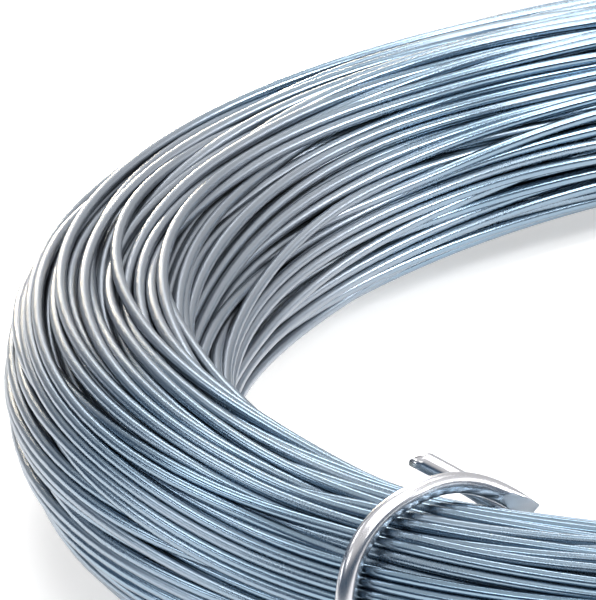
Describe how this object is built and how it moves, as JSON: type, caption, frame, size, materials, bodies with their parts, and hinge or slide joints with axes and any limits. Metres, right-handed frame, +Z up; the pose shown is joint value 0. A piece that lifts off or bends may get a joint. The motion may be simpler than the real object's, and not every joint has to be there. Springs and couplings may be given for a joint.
{
  "type": "coil of galvanized steel wire",
  "caption": "Flat-lying coil of round galvanized steel wire, bound by short ties of thicker wire with crossed, pinch-cut ends.",
  "frame": {"origin": "on the axis of the coil, at the level floor under the two ties", "axes": "+Z up along the axis of the coil; -Y towards the front tie and +Y towards the back tie; X across the coil"},
  "size_m": [0.2308, 0.2368, 0.038],
  "materials": {
    "coil_zinc": "drawn wire with a hot-dip zinc coat, blue-grey, part bright and part frosted",
    "tie_zinc": "bright zinc coat, sheared bare at the pinched ends"
  },
  "bodies": {
    "root": {"wire_coil": "coil_zinc", "front_tie": "tie_zinc", "back_tie": "tie_zinc"}
  },
  "joints": []
}
